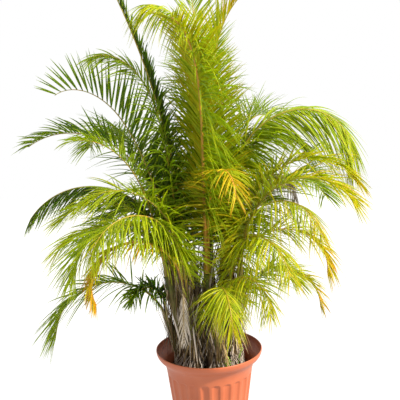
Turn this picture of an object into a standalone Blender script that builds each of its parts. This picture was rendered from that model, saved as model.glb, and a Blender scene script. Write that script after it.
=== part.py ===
"""A potted areca palm: a clump of canes with arching feather fronds, rooted in a flared, fluted pot.

Metres and degrees, +Z up. The origin is the centre of the pot's base and -Y is the plant's front.
Headings turn from +X towards +Y, so a heading of -90 comes to the front.
"""

import math
from dataclasses import dataclass

import bmesh
import bpy
import numpy as np
from mathutils.bvhtree import BVHTree

# The pot
POT_HEIGHT = 0.380
BASE_RADIUS = 0.132
NECK_RADIUS = 0.168
NECK_HEIGHT = 0.277
THROAT_HEIGHT = 0.328
THROAT_RADIUS = 0.179
FLARE_HEIGHT = 0.350
FLARE_RADIUS = 0.199
RIM_RADIUS = 0.210
WALL = 0.004
FLOOR = 0.006
FLUTES = 24
FLUTE_DEPTH = 0.0045
FLUTE_FOOT = 0.040
FLUTE_TOP = 0.291
FLUTE_END = 0.014
STEPS_PER_FLUTE = 4

# The soil and the root mat on it
SOIL_TOP = 0.300
SOIL_DIP = 0.006
SOIL_SHOULDER = 0.152
ROOTED = 0.055
ROOT_REACH = 0.129
ROOT_WAVE = 0.009
ROOT_ARMS = 11
ROOT_HEIGHT = 0.045

# Canes, stalks and leaflets
CANE_SIDES = 8
CANE_RINGS = 7
CANE_RADIUS = 0.0135
SHEATH_RADIUS = 0.0165
SEAT_RADIUS = 0.0078
STALK_RADIUS = 0.0045
STALK_TIP = 0.0020
STALK_RINGS = 3
FEATHER_RINGS = 9
LEAFLET_TRIES = (1.0, 0.85, 0.7, 0.55, 0.4, 0.3, 0.2, 0.12, 0.07, 0.04)

# Room left between neighbouring pieces
GAP = 0.0004
SOCKET = 0.0005


@dataclass(frozen=True)
class Finish:
    """A plain finish: linear colour and roughness."""

    name: str
    colour: tuple
    roughness: float


TERRACOTTA = Finish("terracotta_plastic", (0.66, 0.20, 0.09), 0.55)
SOIL = Finish("potting_soil", (0.040, 0.024, 0.015), 0.95)
ROOT = Finish("dry_root", (0.33, 0.26, 0.20), 0.85)
BARK = Finish("cane_bark", (0.24, 0.20, 0.07), 0.65)
GREEN = Finish("green_leaf", (0.10, 0.24, 0.02), 0.45)
GOLD = Finish("yellow_leaf", (0.55, 0.33, 0.02), 0.50)
STRAW = Finish("dead_leaf", (0.30, 0.21, 0.13), 0.80)
WEED = Finish("weed_green", (0.16, 0.32, 0.04), 0.60)


@dataclass(frozen=True)
class Cane:
    """One stem of the clump, from the spot where it leaves the soil to its crown."""

    foot: tuple
    crown: tuple

    def points(self, rings=CANE_RINGS):
        """Points up the cane: it leaves the soil nearly upright and leans out more as it rises."""
        share = np.linspace(0.0, 1.0, rings)
        foot = np.array([*self.foot, SOIL_TOP - ROOTED])
        run = np.array(self.crown) - foot
        lean = share**1.3
        return foot + np.stack([run[0] * lean, run[1] * lean, run[2] * share], axis=1)

    def radii(self, rings=CANE_RINGS):
        """Radii at those points: swollen where the leaf sheaths wrap it below the crown."""
        share = np.linspace(0.0, 1.0, rings)
        swell = np.exp(-(((share - 0.80) / 0.15) ** 2))
        return CANE_RADIUS + (SHEATH_RADIUS - CANE_RADIUS) * swell - 0.001 * share


@dataclass(frozen=True)
class Frond:
    """A feather leaf: a stalk that sets off at `rise` and nods over by `bend`, with leaflets along it."""

    name: str
    cane: int
    heading: float
    rise: float
    bend: float
    length: float
    seat: float
    curl: float = 1.2
    petiole: float = 0.12
    leaflet: float = 0.20
    vee: float = 35.0
    droop: float = 0.25
    spread: float = 64.0
    closing: float = 0.3
    roll: float = 0.0
    hung: float = 1.0
    finish: Finish = GREEN


CANES = (
    Cane((-0.072, 0.040), (-0.159, 0.053, 0.760)),
    Cane((-0.036, 0.012), (-0.086, 0.014, 0.720)),
    Cane((-0.083, -0.030), (-0.150, -0.077, 0.700)),
    Cane((-0.045, -0.078), (-0.083, -0.139, 0.660)),
    Cane((-0.106, 0.006), (-0.159, 0.005, 0.500)),
    Cane((0.000, -0.036), (0.000, -0.047, 0.700)),
    Cane((0.008, 0.050), (0.016, 0.077, 0.800)),
    Cane((0.043, 0.022), (0.070, 0.030, 0.760)),
    Cane((0.078, -0.040), (0.127, -0.072, 0.680)),
    Cane((0.098, 0.000), (0.120, 0.004, 0.500)),
    Cane((0.033, -0.088), (0.034, -0.125, 0.500)),
    Cane((-0.030, 0.090), (-0.050, 0.143, 0.680)),
    Cane((0.058, 0.075), (0.104, 0.126, 0.660)),
    Cane((-0.044, -0.034), (-0.100, -0.048, 0.600)),
    Cane((0.042, -0.026), (0.078, -0.045, 0.580)),
)

FRONDS = (
    Frond("frond_01a", 1, 177, 87.6, 123, 0.84, 300, curl=1.5, leaflet=0.19, vee=60, droop=0.1, spread=56),
    Frond(
        "frond_01b", 1, 182, 88, 144, 0.71, 180, curl=1.0, petiole=0.20, leaflet=0.17, vee=5, droop=0.45,
        spread=46,
    ),
    Frond("frond_01c", 1, 126, 88, 132, 0.92, 60, curl=1.3, leaflet=0.27),
    Frond(
        "frond_02a", 2, 173, 87.5, 27, 1.30, 20, curl=1.1, petiole=0.34, leaflet=0.11, vee=80, droop=0,
        spread=26,
    ),
    Frond(
        "frond_02b", 2, 180, 72.4, 106, 0.90, 150, curl=4.7, leaflet=0.27, vee=75, droop=0, spread=44,
        closing=-0.2,
    ),
    Frond(
        "frond_02c", 2, 187, 83.4, 101, 0.94, 260, curl=5.4, leaflet=0.24, vee=20, droop=0.4, spread=46,
        roll=20,
    ),
    Frond("frond_03a", 3, 194, 80, 98, 0.70, 120, curl=3.0, leaflet=0.17, vee=45, droop=0.3),
    Frond("frond_03b", 3, 214, 88, 176, 0.60, 260, curl=1.2, leaflet=0.22, droop=0.45),
    Frond(
        "frond_04a", 4, 200, 88, 203, 0.61, 210, curl=1.2, petiole=0.2, leaflet=0.12, droop=0.6,
        finish=GOLD,
    ),
    Frond("frond_04b", 4, 194, 89, 132, 0.64, 110, curl=1.8, leaflet=0.22, droop=0.4),
    Frond(
        "frond_04c", 4, -138, 88, 160, 0.66, -60, curl=1.5, petiole=0.2, leaflet=0.17, vee=10, droop=0.5,
    ),
    Frond("frond_05a", 5, 178, 77, 163, 0.64, 150, curl=0.9, leaflet=0.22, droop=0.4),
    Frond(
        "frond_05b", 5, 204, 89.9, 186, 0.27, 250, curl=1.9, petiole=0.3, leaflet=0.10, droop=0.3,
        closing=0,
    ),
    Frond(
        "frond_06a", 6, -128, 89.8, 76, 1.00, -90, curl=6.5, petiole=0.14, leaflet=0.29, vee=12, droop=0,
        spread=46, closing=0.1,
    ),
    Frond(
        "frond_06b", 6, -72, 88, 170, 0.66, 0, curl=2.6, petiole=0.2, leaflet=0.15, droop=0.4,
        finish=GOLD,
    ),
    Frond(
        "frond_06c", 6, 185, 90, 109, 1.10, 150, curl=7.5, petiole=0.20, leaflet=0.34, vee=15, droop=0.35,
        spread=56, closing=0.1,
    ),
    Frond(
        "frond_07a", 7, -9, 89.2, 46, 0.96, 0, curl=5.0, petiole=0.12, leaflet=0.27, droop=0.0, spread=44,
    ),
    Frond("frond_07b", 7, 107, 89, 24, 1.15, 240, curl=1.6, petiole=0.14, leaflet=0.24, spread=42),
    Frond("frond_07c", 7, 94, 87, 102, 1.06, 120, curl=2.2, leaflet=0.25),
    Frond(
        "frond_08a", 8, -5, 88.9, 190, 1.00, 60, curl=2.1, leaflet=0.26, vee=0, droop=0.3, spread=46,
        closing=0.3, roll=-30,
    ),
    Frond("frond_08b", 8, -8, 88, 170, 0.70, -60, curl=2.7, leaflet=0.20, vee=35, droop=0.4),
    Frond("frond_08c", 8, 62, 88, 130, 0.96, 200, curl=1.4, leaflet=0.24, vee=55, droop=0),
    Frond("frond_09a", 9, -6, 89.5, 152, 0.78, 60, curl=1.9, leaflet=0.23, droop=0.3),
    Frond("frond_09b", 9, -19, 89, 153, 0.72, -60, curl=1.7, leaflet=0.22, droop=0.3),
    Frond("frond_09c", 9, -38, 89, 170, 0.62, 180, curl=1.7, petiole=0.2, leaflet=0.17, vee=10, droop=0.5),
    Frond("frond_10a", 10, -8, 89, 181, 0.51, 0, curl=1.2, leaflet=0.14),
    Frond("frond_10b", 10, 40, 77, 145, 0.48, 120, curl=1.1, leaflet=0.20, droop=0.4),
    Frond("frond_11a", 11, -52, 89, 183, 0.50, 0, curl=1.6, petiole=0.15, leaflet=0.13, vee=10, droop=0.5),
    Frond(
        "frond_11b", 11, -80, 88, 172, 0.47, 220, curl=1.4, petiole=0.15, leaflet=0.13, vee=10, droop=0.5,
    ),
    Frond("frond_12a", 12, 105, 85, 135, 0.88, 60, curl=1.2, leaflet=0.27),
    Frond("frond_12b", 12, 172, 88, 172, 0.60, 180, curl=1.3, leaflet=0.24),
    Frond("frond_13a", 13, 39, 83, 136, 0.80, 60, curl=1.2, leaflet=0.27),
    Frond("frond_13b", 13, 80, 85, 127, 0.87, 180, curl=1.35, leaflet=0.27),
    Frond("frond_14a", 14, 175, 86.6, 134, 0.71, 110, curl=1.5, leaflet=0.24, droop=0.3),
    Frond("frond_14b", 14, 186, 85.7, 138, 0.65, 200, curl=1.25, leaflet=0.24, droop=0.4),
    Frond("frond_15a", 15, -6, 89, 186, 0.66, 40, curl=1.45, leaflet=0.19, droop=0.4, finish=GOLD),
    Frond(
        "frond_15b", 15, -58, 89, 166, 0.62, -80, curl=1.5, petiole=0.2, leaflet=0.16, vee=10, droop=0.5,
    ),
)

DEAD_FRONDS = (
    Frond(
        "dead_frond_left", 4, -110, -86, 2, 0.19, 0, petiole=0.05, leaflet=0.06, vee=5, droop=0.9,
        spread=55, hung=0.985, finish=STRAW,
    ),
    Frond("dead_frond_front", 11, -45, -66, 20, 0.13, 0, leaflet=0.05, droop=0.6, hung=0.80, finish=STRAW),
    Frond(
        "dead_frond_curled", 8, 20, 84, 225, 0.62, 0, curl=2.2, petiole=0.3, leaflet=0.08, vee=0,
        droop=0.6, hung=0.97, finish=STRAW,
    ),
)


@dataclass(frozen=True)
class Weed:
    """A small weed standing on the soil."""

    name: str
    foot: tuple
    height: float
    lean: float
    blade: float
    radius: float = 0.0012
    rings: int = 7
    bare: int = 3


WEEDS = (
    Weed("weed_leafy", (0.066, -0.131), 0.085, 0.004, 0.024),
    Weed("weed_seedhead", (0.106, -0.101), 0.115, 0.020, 0.008, rings=9, bare=5),
)


@dataclass
class Frame:
    """A place along a stalk: its point, the way along it, the way to its right and the way up from it."""

    point: np.ndarray
    along: np.ndarray
    right: np.ndarray
    up: np.ndarray
    share: float


def heading_frame(point, turn, pitch, share):
    """The frame at a point whose stalk heads `turn` at `pitch` above level."""
    level = math.cos(pitch)
    along = np.array([level * math.cos(turn), level * math.sin(turn), math.sin(pitch)])
    right = np.array([math.sin(turn), -math.cos(turn), 0.0])
    return Frame(point, along, right, np.cross(right, along), share)


def frond_start(frond):
    """Where a stalk leaves its cane: over its seat on the crown or, on a hung frond, from the side."""
    route = CANES[frond.cane - 1].points()
    if frond.hung == 1.0:
        turn = math.radians(frond.seat)
        lift = STALK_RADIUS * abs(math.cos(math.radians(frond.rise))) + GAP
        return route[-1] + np.array([math.cos(turn) * SEAT_RADIUS, math.sin(turn) * SEAT_RADIUS, lift])
    turn = math.radians(frond.heading)
    reach = SHEATH_RADIUS + STALK_RADIUS + GAP
    place = frond.hung * (len(route) - 1)
    lower = int(place)
    spot = route[lower] + (route[lower + 1] - route[lower]) * (place - lower)
    return spot + np.array([math.cos(turn), math.sin(turn), 0.0]) * reach


def frond_frames(frond, shares):
    """Frames at the given shares of a frond's length, stepping finely along its curve."""
    fine = 96
    step = frond.length / fine
    point = frond_start(frond)
    points = [point]
    for index in range(fine):
        frame = bent_frame(frond, point, (index + 0.5) / fine)
        point = point + frame.along * step
        points.append(point)
    return [bent_frame(frond, points[round(share * fine)], share) for share in shares]


def bent_frame(frond, point, share):
    """The frame at a share of a frond's length, from its rise, bend and roll."""
    turn = math.radians(frond.heading)
    pitch = math.radians(frond.rise - frond.bend * share**frond.curl)
    level = heading_frame(point, turn, pitch, share)
    roll = math.radians(frond.roll)
    right = level.right * math.cos(roll) + level.up * math.sin(roll)
    return Frame(point, level.along, right, np.cross(right, level.along), share)


class Obstacles:
    """The solids that a new leaflet has to stay clear of, each kept with the box round it."""

    def __init__(self):
        self.trees = {}

    def add(self, name, points, faces):
        """Adds a solid, or takes the place of the one already there under that name."""
        points = np.array(points)
        tree = BVHTree.FromPolygons([tuple(p) for p in points], faces)
        self.trees[name] = (tree, points.min(axis=0), points.max(axis=0))

    def blocked(self, points, faces, own):
        """Whether the faces cut into any solid other than their own."""
        points = np.array(points)
        low, high = points.min(axis=0), points.max(axis=0)
        blade = BVHTree.FromPolygons([tuple(p) for p in points], faces)
        for name, (tree, floor, ceiling) in self.trees.items():
            if name == own or np.any(high < floor) or np.any(low > ceiling):
                continue
            if blade.overlap(tree):
                return True
        return False


class Stem:
    """A four-sided stalk whose upper faces can be drawn out into leaflets."""

    def __init__(self, frames, radii):
        self.points = []
        self.sides = {}
        for ring, (frame, radius) in enumerate(zip(frames, radii)):
            for way in (frame.up, frame.right, -frame.up, -frame.right):
                self.points.append(frame.point + way * radius)
            if ring:
                for side in range(4):
                    self.sides[ring - 1, side] = self.wall(ring, side)
        last = len(self.points)
        self.caps = [(3, 2, 1, 0), (last - 4, last - 3, last - 2, last - 1)]
        self.blades = []

    @staticmethod
    def wall(ring, side):
        """The face on one side between a ring and the ring before it."""
        lower, upper = 4 * (ring - 1), 4 * ring
        after = (side + 1) % 4
        return (lower + side, lower + after, upper + after, upper + side)

    def middle(self, ring, side):
        """The middle of a side face."""
        return np.mean([self.points[corner] for corner in self.sides[ring, side]], axis=0)

    def draw_out(self, ring, side, tip):
        """Draws a side face out to a point, as one leaflet."""
        corners = self.sides.pop((ring, side))
        self.points.append(tip)
        peak = len(self.points) - 1
        for first, second in zip(corners, corners[1:] + corners[:1]):
            self.blades.append((first, second, peak))

    def blade(self, ring, side, tip):
        """The points and faces that a leaflet would have."""
        corners = [self.points[corner] for corner in self.sides[ring, side]]
        return [*corners, tip], [(0, 1, 4), (1, 2, 4), (2, 3, 4), (3, 0, 4)]

    def faces(self):
        """Every face of the stalk and its leaflets."""
        return [*self.sides.values(), *self.caps, *self.blades]


def frond_stem(frond):
    """A frond's bare stalk and rachis."""
    stalk = np.linspace(0.0, frond.petiole, STALK_RINGS, endpoint=False)
    feather = np.linspace(frond.petiole, 1.0, FEATHER_RINGS + 1)
    shares = np.concatenate([stalk, feather])
    radii = STALK_RADIUS + (STALK_TIP - STALK_RADIUS) * shares**1.2
    return Stem(frond_frames(frond, shares), radii)


def leaflet_reach(frond, share):
    """How long a leaflet is at a share of the feathered length: short at first and shortest at the tip."""
    return frond.leaflet * min(1.0, 0.62 + 1.6 * share) * (1.0 - 0.62 * share**3)


def leaflet_way(frond, frame, side, share):
    """The way a leaflet points: outward and forward, raised by the vee and drawn down by its droop."""
    lean = math.radians(frond.spread * (1.0 - frond.closing * share))
    vee = math.radians(frond.vee)
    out = frame.right * side * math.cos(vee) + frame.up * math.sin(vee)
    way = frame.along * math.cos(lean) + out * math.sin(lean) - np.array([0.0, 0.0, frond.droop])
    return way / np.linalg.norm(way)


def add_leaflets(frond, stem, obstacles):
    """Draws out each leaflet as far as it can go without meeting another piece."""
    feather = np.linspace(frond.petiole, 1.0, FEATHER_RINGS + 1)
    middles = (feather[:-1] + feather[1:]) / 2.0
    for station, frame in enumerate(frond_frames(frond, middles)):
        share = (station + 0.5) / FEATHER_RINGS
        for side, face in ((1, 0), (-1, 3)):
            run = leaflet_way(frond, frame, side, share) * leaflet_reach(frond, share)
            add_leaflet(stem, STALK_RINGS + station, face, run, obstacles, frond.name)


def add_leaflet(stem, ring, face, run, obstacles, own):
    """Draws out one leaflet to the longest of the allowed shares of its run that is clear."""
    base = stem.middle(ring, face)
    for reach in LEAFLET_TRIES:
        tip = base + run * reach
        spare = tip + run / np.linalg.norm(run) * 0.003
        if not obstacles.blocked(*stem.blade(ring, face, spare), own):
            stem.draw_out(ring, face, tip)
            return


def lathe(rows, segments, radius_at):
    """The points and faces of a closed body of rings, each row giving a height and what sets its radius."""
    points = []
    for row in rows:
        for step in range(segments):
            turn = 2.0 * math.pi * step / segments
            radius = radius_at(row, turn)
            points.append((radius * math.cos(turn), radius * math.sin(turn), row[0]))
    faces = []
    for row in range(len(rows) - 1):
        for step in range(segments):
            after = (step + 1) % segments
            lower, upper = row * segments, (row + 1) * segments
            faces.append((lower + step, lower + after, upper + after, upper + step))
    first, last = len(points), len(points) + 1
    points += [(0.0, 0.0, rows[0][0]), (0.0, 0.0, rows[-1][0])]
    top = (len(rows) - 1) * segments
    for step in range(segments):
        after = (step + 1) % segments
        faces.append((first, after, step))
        faces.append((last, top + step, top + after))
    return points, faces


def wall_radius(height):
    """The pot's plain outer radius, straight to the neck and then flaring to the lip."""
    heights = (0.0, NECK_HEIGHT, 0.305, THROAT_HEIGHT, FLARE_HEIGHT, 0.366, 0.376, POT_HEIGHT)
    radii = (BASE_RADIUS, NECK_RADIUS, 0.1715, THROAT_RADIUS, FLARE_RADIUS, 0.2085, RIM_RADIUS, 0.2085)
    return float(np.interp(height, heights, radii))


def flute_share(height):
    """How deep a flute is at a height: full between its rounded ends and nothing beyond them."""
    lower = (height - FLUTE_FOOT) / FLUTE_END
    upper = (FLUTE_TOP - height) / FLUTE_END
    share = max(0.0, min(1.0, lower, upper))
    return math.sqrt(share * (2.0 - share))


def pot_radius(row, turn):
    """The radius of the pot's skin at a row and turn, dipping in the middle of each flute."""
    height, inset = row
    across = (turn * FLUTES / (2.0 * math.pi)) % 1.0
    hollow = 1.0 - (2.0 * across - 1.0) ** 2
    return wall_radius(height) - inset - FLUTE_DEPTH * hollow * flute_share(height)


def build_pot():
    """The planter: a thin fluted wall with a flared lip and a closed flat bottom."""
    middle = FLUTE_TOP - 0.4 * FLUTE_END
    fluted = (FLUTE_FOOT, FLUTE_FOOT + FLUTE_END, FLUTE_TOP - FLUTE_END, middle, FLUTE_TOP)
    flare = (0.305, THROAT_HEIGHT, 0.340, FLARE_HEIGHT, 0.366, 0.376)
    outside = [(0.0, 0.004), (0.004, 0.0)] + [(height, 0.0) for height in (*fluted, *flare, POT_HEIGHT)]
    inside = [(height, WALL) for height in (0.3795, *flare[::-1], *fluted[::-1], FLOOR)]
    return lathe(outside + inside, FLUTES * STEPS_PER_FLUTE, pot_radius)


def build_soil():
    """The soil: smooth-sided so that it clears the insides of the flutes, with its edge dipping a little."""
    clear = WALL + FLUTE_DEPTH + GAP
    bottom = FLOOR + GAP
    edge = SOIL_TOP - SOIL_DIP
    rows = [
        (bottom, (wall_radius(bottom) - clear)),
        (edge, (wall_radius(edge) - clear)),
        (SOIL_TOP, SOIL_SHOULDER),
    ]
    return lathe(rows, 48, lambda row, turn: row[1])


def build_root_mat():
    """The mat of roots: a dome on the soil with an edge that runs out in arms."""
    rows = [
        (SOIL_TOP + GAP, 1.0),
        (SOIL_TOP + 0.004, 1.0),
        (SOIL_TOP + 0.35 * ROOT_HEIGHT, 0.93),
        (SOIL_TOP + 0.7 * ROOT_HEIGHT, 0.84),
        (SOIL_TOP + ROOT_HEIGHT, 0.72),
    ]

    def reach(row, turn):
        wave = math.sin(ROOT_ARMS * turn) + 0.35 * math.sin(4.0 * turn + 1.0)
        return (ROOT_REACH + ROOT_WAVE * wave / 1.35) * row[1]

    return lathe(rows, 66, reach)


def cane_tube(cane, extra=0.0):
    """The points and faces of a cane, made thicker and longer when it serves to cut its socket."""
    points, faces = [], []
    for index, (point, radius) in enumerate(zip(cane.points(), cane.radii())):
        drop = extra if index == 0 else 0.0
        for side in range(CANE_SIDES):
            turn = 2.0 * math.pi * side / CANE_SIDES
            out = np.array([math.cos(turn), math.sin(turn), 0.0]) * (radius + extra)
            points.append(point + out - np.array([0.0, 0.0, drop]))
    for ring in range(CANE_RINGS - 1):
        for side in range(CANE_SIDES):
            after = (side + 1) % CANE_SIDES
            lower, upper = ring * CANE_SIDES, (ring + 1) * CANE_SIDES
            faces.append((lower + side, lower + after, upper + after, upper + side))
    faces.append(tuple(reversed(range(CANE_SIDES))))
    top = (CANE_RINGS - 1) * CANE_SIDES
    faces.append(tuple(range(top, top + CANE_SIDES)))
    return points, faces


def add_object(name, points, faces, finish):
    """Makes a named object of a closed body, its faces turned outward, in its own plain finish."""
    mesh = bpy.data.meshes.new(name)
    mesh.from_pydata([tuple(point) for point in points], [], faces)
    work = bmesh.new()
    work.from_mesh(mesh)
    bmesh.ops.recalc_face_normals(work, faces=work.faces)
    work.to_mesh(mesh)
    work.free()
    mesh.materials.append(plain_material(finish))
    item = bpy.data.objects.new(name, mesh)
    bpy.context.scene.collection.objects.link(item)
    return item


def plain_material(finish):
    """The plain material of a finish, made once."""
    known = bpy.data.materials.get(finish.name)
    if known:
        return known
    material = bpy.data.materials.new(finish.name)
    material.use_nodes = True
    shader = material.node_tree.nodes["Principled BSDF"]
    shader.inputs["Base Color"].default_value = (*finish.colour, 1.0)
    shader.inputs["Roughness"].default_value = finish.roughness
    material.diffuse_color = (*finish.colour, 1.0)
    return material


def add_sockets(item, cutter):
    """Cuts the cane sockets out of a piece."""
    cut = item.modifiers.new("cane_sockets", "BOOLEAN")
    cut.operation = "DIFFERENCE"
    cut.solver = "EXACT"
    cut.object = cutter


def build_cutter():
    """The canes made thicker by the fit, all in one body that cuts their sockets."""
    points, faces = [], []
    for cane in CANES:
        own_points, own_faces = cane_tube(cane, SOCKET)
        faces += [tuple(corner + len(points) for corner in face) for face in own_faces]
        points += own_points
    cutter = add_object("cane_socket_cutter", points, faces, BARK)
    cutter.hide_render = True
    cutter.display_type = "WIRE"
    return cutter


def clear_scene():
    """Removes everything already there."""
    for item in list(bpy.data.objects):
        bpy.data.objects.remove(item, do_unlink=True)


def build_base(obstacles):
    """Builds the pot, the soil and the root mat."""
    cutter = build_cutter()
    for name, body, finish in (
        ("pot", build_pot(), TERRACOTTA),
        ("soil", build_soil(), SOIL),
        ("root_mat", build_root_mat(), ROOT),
    ):
        item = add_object(name, *body, finish)
        obstacles.add(name, *body)
        if name != "pot":
            add_sockets(item, cutter)


def build_canes(obstacles):
    """Builds the canes."""
    for number, cane in enumerate(CANES, start=1):
        name = f"cane_{number:02d}"
        body = cane_tube(cane)
        add_object(name, *body, BARK)
        obstacles.add(name, *body)


def build_fronds(obstacles):
    """Builds the fronds: every bare stalk first, then the leaflets of each in the room that is left."""
    fronds = (*FRONDS, *DEAD_FRONDS)
    stems = {frond.name: frond_stem(frond) for frond in fronds}
    for name, stem in stems.items():
        obstacles.add(name, stem.points, stem.faces())
    for frond in fronds:
        stem = stems[frond.name]
        add_leaflets(frond, stem, obstacles)
        obstacles.add(frond.name, stem.points, stem.faces())
        add_object(frond.name, stem.points, stem.faces(), frond.finish)


def build_weeds(obstacles):
    """Builds the weeds: slight stems standing on the soil with a few blades each."""
    for weed in WEEDS:
        shares = np.linspace(0.0, 1.0, weed.rings)
        start = np.array([*weed.foot, SOIL_TOP + GAP])
        frames = []
        for share in shares:
            point = start + np.array([weed.lean * share**2, 0.0, weed.height * share])
            frames.append(heading_frame(point, 0.0, math.pi / 2.0, share))
        stem = Stem(frames, np.full(weed.rings, weed.radius))
        for ring in range(weed.bare, weed.rings - 1):
            for face in range(4):
                out = (frames[ring].up, frames[ring].right, -frames[ring].up, -frames[ring].right)
                way = out[face] + out[(face + 1) % 4] * 0.9
                run = (way * 0.7 + np.array([0.0, 0.0, 0.45])) * weed.blade
                if (ring + face) % 2 == 0:
                    add_leaflet(stem, ring, face, run, obstacles, weed.name)
        obstacles.add(weed.name, stem.points, stem.faces())
        add_object(weed.name, stem.points, stem.faces(), WEED)


def main():
    """Builds every piece."""
    clear_scene()
    obstacles = Obstacles()
    build_base(obstacles)
    build_canes(obstacles)
    build_fronds(obstacles)
    build_weeds(obstacles)


if __name__ == "__main__":
    main()
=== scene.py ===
"""The look of a potted areca palm: feather fronds on ringed canes, matted roots, soil and a fluted pot.

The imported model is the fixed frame. Each class below builds the fine pieces that stand for its solids.
Metres and degrees, +Z up, -Y to the front; headings turn from +X towards +Y.
"""

import logging
import math
from dataclasses import dataclass
from enum import Enum
from functools import partial

import bmesh
import bpy
import numpy as np
from bpy.types import Material, Mesh, Node, NodeSocket, NodeTree
from mathutils import Matrix, Vector


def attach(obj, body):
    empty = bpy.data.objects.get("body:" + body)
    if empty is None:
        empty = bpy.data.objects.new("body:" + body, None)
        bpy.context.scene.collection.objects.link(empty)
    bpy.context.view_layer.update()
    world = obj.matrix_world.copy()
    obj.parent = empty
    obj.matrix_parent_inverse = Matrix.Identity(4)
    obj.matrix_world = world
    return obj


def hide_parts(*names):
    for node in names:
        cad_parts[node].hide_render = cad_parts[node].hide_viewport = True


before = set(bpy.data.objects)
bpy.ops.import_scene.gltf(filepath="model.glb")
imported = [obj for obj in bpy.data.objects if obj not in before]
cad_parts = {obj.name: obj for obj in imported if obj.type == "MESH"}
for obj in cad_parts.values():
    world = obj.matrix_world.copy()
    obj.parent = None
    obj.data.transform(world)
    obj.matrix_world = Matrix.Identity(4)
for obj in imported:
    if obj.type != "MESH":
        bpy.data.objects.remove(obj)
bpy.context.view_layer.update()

LOG = logging.getLogger("potted_palm")
SOIL_TOP = 0.300
ROOTED = 0.055
SEAT_RADIUS = 0.0078
STALK_RADIUS = 0.0045
SHEATH_RADIUS = 0.0165
CANE_RADIUS = 0.0135
GAP = 0.0004
FULL_TURN = 2.0 * math.pi
UPWARD = np.array([0.0, 0.0, 1.0])

MATH = "ShaderNodeMath"
VECTOR = "ShaderNodeVectorMath"
SPLIT = "ShaderNodeSeparateXYZ"
COMBINE = "ShaderNodeCombineXYZ"
NOISE = "ShaderNodeTexNoise"
RAMP = "ShaderNodeValToRGB"
BUMP = "ShaderNodeBump"
LABEL = "ShaderNodeAttribute"
PLACE = "ShaderNodeTexCoord"
CHANCE = "FunctionNodeRandomValue"
READ = "GeometryNodeInputNamedAttribute"
STORE = "GeometryNodeStoreNamedAttribute"
SET_POSITION = "GeometryNodeSetPosition"
SET_ON_POINTS = "GeometryNodeInstanceOnPoints"
MAKE_REAL = "GeometryNodeRealizeInstances"
TO_CURVE = "GeometryNodeMeshToCurve"
RESAMPLE = "GeometryNodeResampleCurve"
SPLINE = "GeometryNodeSplineParameter"
SMOOTH = "GeometryNodeSetShadeSmooth"
TURN_TO = "FunctionNodeAxesToRotation"


def linear(code: str) -> tuple[float, float, float, float]:
    """Turns an sRGB hex colour into a linear one.

    Args:
        code: The colour as six hex digits.

    Returns:
        The linear red, green, blue and an alpha of one.
    """
    parts = [int(code[start : start + 2], 16) / 255.0 for start in (0, 2, 4)]
    flat = [part / 12.92 if part <= 0.04045 else ((part + 0.055) / 1.055) ** 2.4 for part in parts]
    return (*flat, 1.0)


def set_inputs(tree: NodeTree, node: Node, inputs: object) -> None:
    """Links or sets a node's inputs.

    Args:
        tree: The node tree it is in.
        node: The node.
        inputs: What each input takes, in order, or by name or number: a value, a socket, a node whose
            first live output is meant, or a list of them where one input takes several.
    """
    pairs = inputs.items() if isinstance(inputs, dict) else enumerate(inputs)
    for key, given in pairs:
        for source in given if isinstance(given, list) else [given]:
            if isinstance(source, Node):
                source = next(socket for socket in source.outputs if socket.enabled)
            if isinstance(source, NodeSocket):
                tree.links.new(source, node.inputs[key])
            else:
                node.inputs[key].default_value = source


def add_node(
    tree: NodeTree, kind: str, inputs: object = (), operation: str = "", **settings: object
) -> Node:
    """Adds a node with its settings, values and links.

    Args:
        tree: The node tree it goes into.
        kind: The node's type.
        inputs: What its inputs take, as set_inputs says.
        operation: What a maths node works out.
        **settings: The node's other properties.

    Returns:
        The new node.
    """
    node = tree.nodes.new(kind)
    if operation:
        node.operation = operation
    for name, value in settings.items():
        setattr(node, name, value)
    set_inputs(tree, node, inputs)
    return node


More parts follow.
